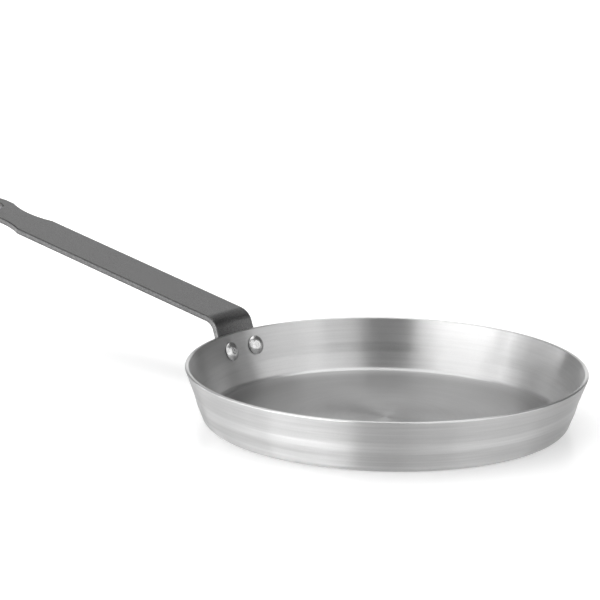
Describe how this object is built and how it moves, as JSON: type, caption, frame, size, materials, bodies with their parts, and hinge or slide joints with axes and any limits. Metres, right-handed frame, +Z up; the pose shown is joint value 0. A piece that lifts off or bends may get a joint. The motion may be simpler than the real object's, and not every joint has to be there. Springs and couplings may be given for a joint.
{
  "type": "pancake pan",
  "caption": "Shallow uncoated aluminium pancake pan with a leaning wall and a long strip handle riveted inside the rim.",
  "frame": {"origin": "centre of the flat base, on the plane the pan rests on", "axes": "+Z up along the pan's axis of turning, the handle points along -X"},
  "size_m": [0.4711, 0.24, 0.0819],
  "materials": {
    "pan_body": "bare, spun and satin polished, with fine turning lines round the axis",
    "handle": "dark grey baked coating with a fine grain on steel strip",
    "rivets": "bare, heads flattened by pressing, satin"
  },
  "bodies": {
    "root": {"pan_body": "pan_body", "handle": "handle", "rivet_left": "rivets", "rivet_right": "rivets"}
  },
  "joints": []
}
